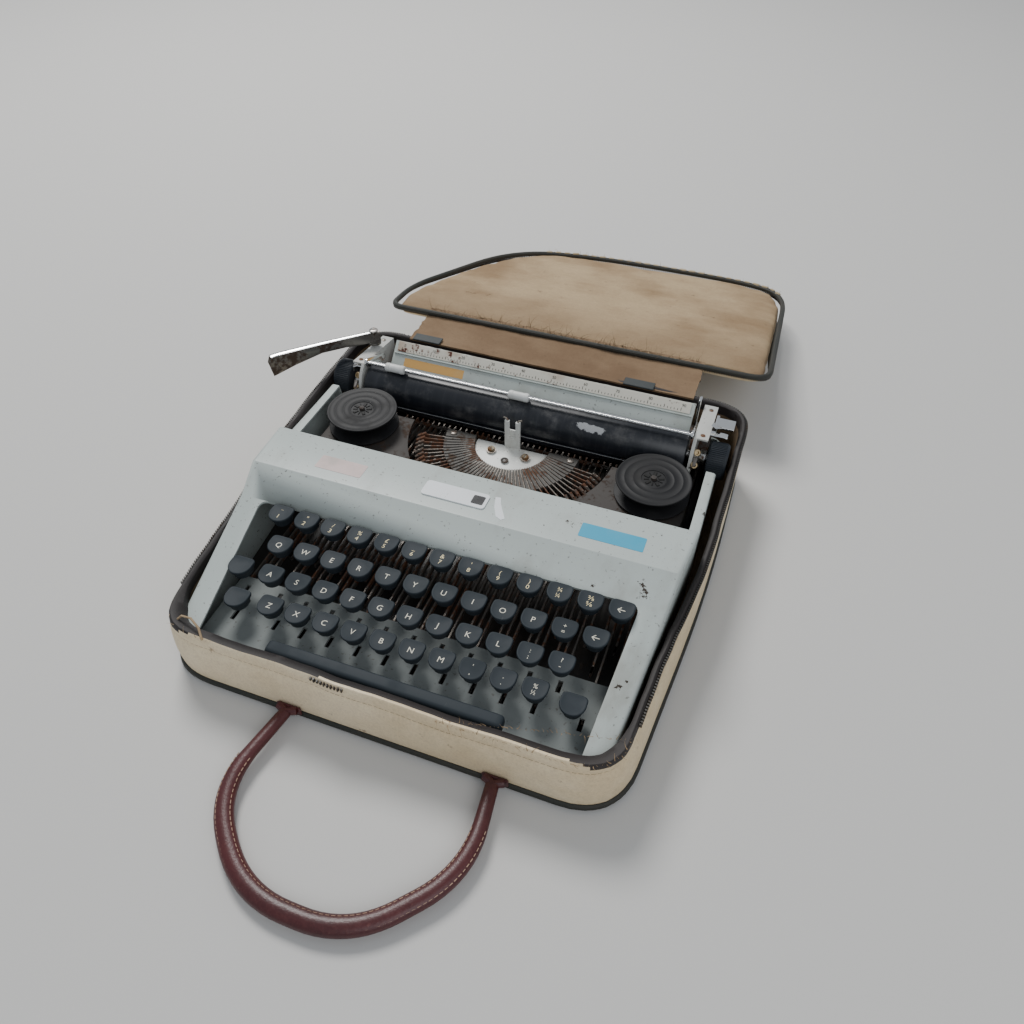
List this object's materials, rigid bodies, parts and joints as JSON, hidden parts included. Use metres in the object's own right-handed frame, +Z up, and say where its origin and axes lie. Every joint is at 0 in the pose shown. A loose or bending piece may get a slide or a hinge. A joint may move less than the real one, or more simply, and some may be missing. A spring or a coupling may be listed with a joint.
{
  "type": "portable typewriter",
  "caption": "Portable typewriter with a sliding carriage, sprung keys and a type basket, standing in its open soft zip case with a carrying handle.",
  "frame": {"origin": "centre of the carrying case's underside, on the surface it stands on", "axes": "+Z up, +Y from the keyboard to the rear, +X to the typist's right"},
  "size_m": [0.3649, 0.6721, 0.08],
  "materials": {
    "case_vinyl": "worn",
    "case_lid_cover": "worn suede",
    "handle_leather": "smooth",
    "body_paint": "satin, chipped",
    "panel_paint": "satin",
    "frame_steel": "aged",
    "type_steel": "rusty",
    "segment_iron": "machined",
    "bright_chrome": "polished",
    "grey_paint": "satin",
    "spool_plastic": "matt",
    "key_plastic": "satin",
    "platen_rubber": "worn",
    "knob_plastic": "ribbed",
    "roller_plastic": "satin",
    "pan_steel": "matt"
  },
  "bodies": {
    "machine": {"case_floor": "case_vinyl", "case_wall": "case_vinyl", "base_pan": "pan_steel", "housing": "body_paint", "keyboard_panel": "panel_paint", "side_frames": "frame_steel", "fulcrum_rod": "frame_steel", "carriage_rail": "frame_steel", "spool_plates": "frame_steel"},
    "lid": {"case_lid": "case_lid_cover"},
    "handle": {"case_handle": "handle_leather"},
    "carriage": {"carriage_bed": "frame_steel", "carriage_ends": "grey_paint", "paper_table": "grey_paint", "platen_apron": "pan_steel"},
    "platen_roll": {"platen": "platen_rubber", "platen_axle": "frame_steel", "platen_knobs": "knob_plastic"},
    "bail": {"bail_bar": "bright_chrome", "bail_rollers": "roller_plastic"},
    "return_arm": {"return_lever": "bright_chrome"},
    "paper_release_arm": {"paper_release": "bright_chrome"},
    "carriage_release_arm": {"carriage_release": "bright_chrome"},
    "left_spool": {"spool_left": "spool_plastic"},
    "right_spool": {"spool_right": "spool_plastic"},
    "basket": {"type_segment": "segment_iron", "segment_cover": "bright_chrome", "typebars": "type_steel"},
    "striker": {"centre_typebar": "type_steel"},
    "space_key": {"space_bar": "key_plastic"},
    "lock_key": {"shift_lock_key": "key_plastic"},
    "back_key": {"backspace_key": "key_plastic"},
    "shift_pair": {"shift_keys": "key_plastic"},
    "upper_keys": {"number_symbol_keys": "key_plastic"},
    "q_key": {"key_q": "key_plastic"},
    "w_key": {"key_w": "key_plastic"},
    "e_key": {"key_e": "key_plastic"},
    "r_key": {"key_r": "key_plastic"},
    "t_key": {"key_t": "key_plastic"},
    "y_key": {"key_y": "key_plastic"},
    "u_key": {"key_u": "key_plastic"},
    "i_key": {"key_i": "key_plastic"},
    "o_key": {"key_o": "key_plastic"},
    "p_key": {"key_p": "key_plastic"},
    "a_key": {"key_a": "key_plastic"},
    "s_key": {"key_s": "key_plastic"},
    "d_key": {"key_d": "key_plastic"},
    "f_key": {"key_f": "key_plastic"},
    "g_key": {"key_g": "key_plastic"},
    "h_key": {"key_h": "key_plastic"},
    "j_key": {"key_j": "key_plastic"},
    "k_key": {"key_k": "key_plastic"},
    "l_key": {"key_l": "key_plastic"},
    "z_key": {"key_z": "key_plastic"},
    "x_key": {"key_x": "key_plastic"},
    "c_key": {"key_c": "key_plastic"},
    "v_key": {"key_v": "key_plastic"},
    "b_key": {"key_b": "key_plastic"},
    "n_key": {"key_n": "key_plastic"},
    "m_key": {"key_m": "key_plastic"}
  },
  "joints": [
    {"name": "carriage_slide", "type": "slide", "parent": "machine", "child": "carriage", "axis": [1, 0, 0], "range_m": [-0.115, 0.115], "deforming": ["case_wall"]},
    {"name": "platen_turn", "type": "hinge", "parent": "carriage", "child": "platen_roll", "pos_m": [0, 0.102, 0.05], "axis": [1, 0, 0], "continuous": true},
    {"name": "return_lever_swing", "type": "hinge", "parent": "carriage", "child": "return_arm", "pos_m": [-0.135, 0.128, 0.074], "axis": [0, 0, 1], "range_deg": [0, 30], "stiffness_Nm_per_rad": 0.2, "springref_deg": -11.46},
    {"name": "paper_bail_lift", "type": "hinge", "parent": "carriage", "child": "bail", "pos_m": [0, 0.124, 0.059], "axis": [-1, 0, 0], "range_deg": [0, 60]},
    {"name": "lid_fold", "type": "hinge", "parent": "machine", "child": "lid", "pos_m": [0, 0.164, 0.06], "axis": [1, 0, 0], "range_deg": [0, 110]},
    {"name": "handle_lift", "type": "hinge", "parent": "machine", "child": "handle", "pos_m": [0, -0.1626, 0.0095], "axis": [-1, 0, 0], "range_deg": [0, 80]},
    {"name": "paper_release_pull", "type": "hinge", "parent": "carriage", "child": "paper_release_arm", "pos_m": [0.1252, 0.14, 0.044], "axis": [1, 0, 0], "range_deg": [0, 20], "stiffness_Nm_per_rad": 0.05, "springref_deg": -11.46},
    {"name": "carriage_release_press", "type": "hinge", "parent": "carriage", "child": "carriage_release_arm", "pos_m": [0.141, 0.136, 0.052], "axis": [1, 0, 0], "range_deg": [0, 12], "stiffness_Nm_per_rad": 0.1, "springref_deg": -11.46},
    {"name": "basket_shift", "type": "slide", "parent": "machine", "child": "basket", "axis": [0, 0, -1], "range_m": [0, 0.006], "stiffness_N_per_m": 700, "springref_m": -0.008},
    {"name": "type_strike", "type": "hinge", "parent": "basket", "child": "striker", "pos_m": [0, 0.05, 0.0375], "axis": [-1, 0, 0], "range_deg": [0, 150]},
    {"name": "spool_left_turn", "type": "hinge", "parent": "machine", "child": "left_spool", "pos_m": [-0.111, 0.057, 0.053], "axis": [0, 0, 1], "continuous": true},
    {"name": "spool_right_turn", "type": "hinge", "parent": "machine", "child": "right_spool", "pos_m": [0.111, 0.057, 0.053], "axis": [0, 0, 1], "continuous": true},
    {"name": "space_bar_press", "type": "hinge", "parent": "machine", "child": "space_key", "pos_m": [0, 0.1, 0.02], "axis": [1, 0, 0], "range_deg": [0, 1.4], "stiffness_Nm_per_rad": 4, "springref_deg": -2.86},
    {"name": "shift_keys_press", "type": "hinge", "parent": "machine", "child": "shift_pair", "pos_m": [0, 0.1, 0.02], "axis": [1, 0, 0], "range_deg": [0, 2.1], "stiffness_Nm_per_rad": 1, "springref_deg": -2.86},
    {"name": "shift_lock_press", "type": "hinge", "parent": "machine", "child": "lock_key", "pos_m": [0, 0.1, 0.02], "axis": [1, 0, 0], "range_deg": [0, 2.2], "stiffness_Nm_per_rad": 1, "springref_deg": -2.86},
    {"name": "backspace_press", "type": "hinge", "parent": "machine", "child": "back_key", "pos_m": [0, 0.1, 0.02], "axis": [1, 0, 0], "range_deg": [0, 2.2], "stiffness_Nm_per_rad": 1, "springref_deg": -2.86},
    {"name": "number_symbol_keys_press", "type": "hinge", "parent": "machine", "child": "upper_keys", "pos_m": [0, 0.1, 0.02], "axis": [1, 0, 0], "range_deg": [0, 2.2], "stiffness_Nm_per_rad": 10, "springref_deg": -2.86},
    {"name": "key_q_press", "type": "hinge", "parent": "machine", "child": "q_key", "pos_m": [0, 0.1, 0.02], "axis": [1, 0, 0], "range_deg": [0, 2.2], "stiffness_Nm_per_rad": 1, "springref_deg": -2.86},
    {"name": "key_w_press", "type": "hinge", "parent": "machine", "child": "w_key", "pos_m": [0, 0.1, 0.02], "axis": [1, 0, 0], "range_deg": [0, 2.2], "stiffness_Nm_per_rad": 1, "springref_deg": -2.86},
    {"name": "key_e_press", "type": "hinge", "parent": "machine", "child": "e_key", "pos_m": [0, 0.1, 0.02], "axis": [1, 0, 0], "range_deg": [0, 2.2], "stiffness_Nm_per_rad": 1, "springref_deg": -2.86},
    {"name": "key_r_press", "type": "hinge", "parent": "machine", "child": "r_key", "pos_m": [0, 0.1, 0.02], "axis": [1, 0, 0], "range_deg": [0, 2.2], "stiffness_Nm_per_rad": 1, "springref_deg": -2.86},
    {"name": "key_t_press", "type": "hinge", "parent": "machine", "child": "t_key", "pos_m": [0, 0.1, 0.02], "axis": [1, 0, 0], "range_deg": [0, 2.2], "stiffness_Nm_per_rad": 1, "springref_deg": -2.86},
    {"name": "key_y_press", "type": "hinge", "parent": "machine", "child": "y_key", "pos_m": [0, 0.1, 0.02], "axis": [1, 0, 0], "range_deg": [0, 2.2], "stiffness_Nm_per_rad": 1, "springref_deg": -2.86},
    {"name": "key_u_press", "type": "hinge", "parent": "machine", "child": "u_key", "pos_m": [0, 0.1, 0.02], "axis": [1, 0, 0], "range_deg": [0, 2.2], "stiffness_Nm_per_rad": 1, "springref_deg": -2.86},
    {"name": "key_i_press", "type": "hinge", "parent": "machine", "child": "i_key", "pos_m": [0, 0.1, 0.02], "axis": [1, 0, 0], "range_deg": [0, 2.2], "stiffness_Nm_per_rad": 1, "springref_deg": -2.86},
    {"name": "key_o_press", "type": "hinge", "parent": "machine", "child": "o_key", "pos_m": [0, 0.1, 0.02], "axis": [1, 0, 0], "range_deg": [0, 2.2], "stiffness_Nm_per_rad": 1, "springref_deg": -2.86},
    {"name": "key_p_press", "type": "hinge", "parent": "machine", "child": "p_key", "pos_m": [0, 0.1, 0.02], "axis": [1, 0, 0], "range_deg": [0, 2.2], "stiffness_Nm_per_rad": 1, "springref_deg": -2.86},
    {"name": "key_a_press", "type": "hinge", "parent": "machine", "child": "a_key", "pos_m": [0, 0.1, 0.02], "axis": [1, 0, 0], "range_deg": [0, 2.2], "stiffness_Nm_per_rad": 1, "springref_deg": -2.86},
    {"name": "key_s_press", "type": "hinge", "parent": "machine", "child": "s_key", "pos_m": [0, 0.1, 0.02], "axis": [1, 0, 0], "range_deg": [0, 2.2], "stiffness_Nm_per_rad": 1, "springref_deg": -2.86},
    {"name": "key_d_press", "type": "hinge", "parent": "machine", "child": "d_key", "pos_m": [0, 0.1, 0.02], "axis": [1, 0, 0], "range_deg": [0, 2.2], "stiffness_Nm_per_rad": 1, "springref_deg": -2.86},
    {"name": "key_f_press", "type": "hinge", "parent": "machine", "child": "f_key", "pos_m": [0, 0.1, 0.02], "axis": [1, 0, 0], "range_deg": [0, 2.2], "stiffness_Nm_per_rad": 1, "springref_deg": -2.86},
    {"name": "key_g_press", "type": "hinge", "parent": "machine", "child": "g_key", "pos_m": [0, 0.1, 0.02], "axis": [1, 0, 0], "range_deg": [0, 2.2], "stiffness_Nm_per_rad": 1, "springref_deg": -2.86},
    {"name": "key_h_press", "type": "hinge", "parent": "machine", "child": "h_key", "pos_m": [0, 0.1, 0.02], "axis": [1, 0, 0], "range_deg": [0, 2.2], "stiffness_Nm_per_rad": 1, "springref_deg": -2.86},
    {"name": "key_j_press", "type": "hinge", "parent": "machine", "child": "j_key", "pos_m": [0, 0.1, 0.02], "axis": [1, 0, 0], "range_deg": [0, 2.2], "stiffness_Nm_per_rad": 1, "springref_deg": -2.86},
    {"name": "key_k_press", "type": "hinge", "parent": "machine", "child": "k_key", "pos_m": [0, 0.1, 0.02], "axis": [1, 0, 0], "range_deg": [0, 2.2], "stiffness_Nm_per_rad": 1, "springref_deg": -2.86},
    {"name": "key_l_press", "type": "hinge", "parent": "machine", "child": "l_key", "pos_m": [0, 0.1, 0.02], "axis": [1, 0, 0], "range_deg": [0, 2.2], "stiffness_Nm_per_rad": 1, "springref_deg": -2.86},
    {"name": "key_z_press", "type": "hinge", "parent": "machine", "child": "z_key", "pos_m": [0, 0.1, 0.02], "axis": [1, 0, 0], "range_deg": [0, 2.2], "stiffness_Nm_per_rad": 1, "springref_deg": -2.86},
    {"name": "key_x_press", "type": "hinge", "parent": "machine", "child": "x_key", "pos_m": [0, 0.1, 0.02], "axis": [1, 0, 0], "range_deg": [0, 2.2], "stiffness_Nm_per_rad": 1, "springref_deg": -2.86},
    {"name": "key_c_press", "type": "hinge", "parent": "machine", "child": "c_key", "pos_m": [0, 0.1, 0.02], "axis": [1, 0, 0], "range_deg": [0, 2.2], "stiffness_Nm_per_rad": 1, "springref_deg": -2.86},
    {"name": "key_v_press", "type": "hinge", "parent": "machine", "child": "v_key", "pos_m": [0, 0.1, 0.02], "axis": [1, 0, 0], "range_deg": [0, 2.2], "stiffness_Nm_per_rad": 1, "springref_deg": -2.86},
    {"name": "key_b_press", "type": "hinge", "parent": "machine", "child": "b_key", "pos_m": [0, 0.1, 0.02], "axis": [1, 0, 0], "range_deg": [0, 2.2], "stiffness_Nm_per_rad": 1, "springref_deg": -2.86},
    {"name": "key_n_press", "type": "hinge", "parent": "machine", "child": "n_key", "pos_m": [0, 0.1, 0.02], "axis": [1, 0, 0], "range_deg": [0, 2.2], "stiffness_Nm_per_rad": 1, "springref_deg": -2.86},
    {"name": "key_m_press", "type": "hinge", "parent": "machine", "child": "m_key", "pos_m": [0, 0.1, 0.02], "axis": [1, 0, 0], "range_deg": [0, 2.2], "stiffness_Nm_per_rad": 1, "springref_deg": -2.86}
  ],
  "couplings": [
    {"joint": "shift_keys_press", "follows": "basket_shift", "rad_per_m": 5.8178},
    {"joint": "key_h_press", "follows": "type_strike", "ratio": 0.0145}
  ]
}
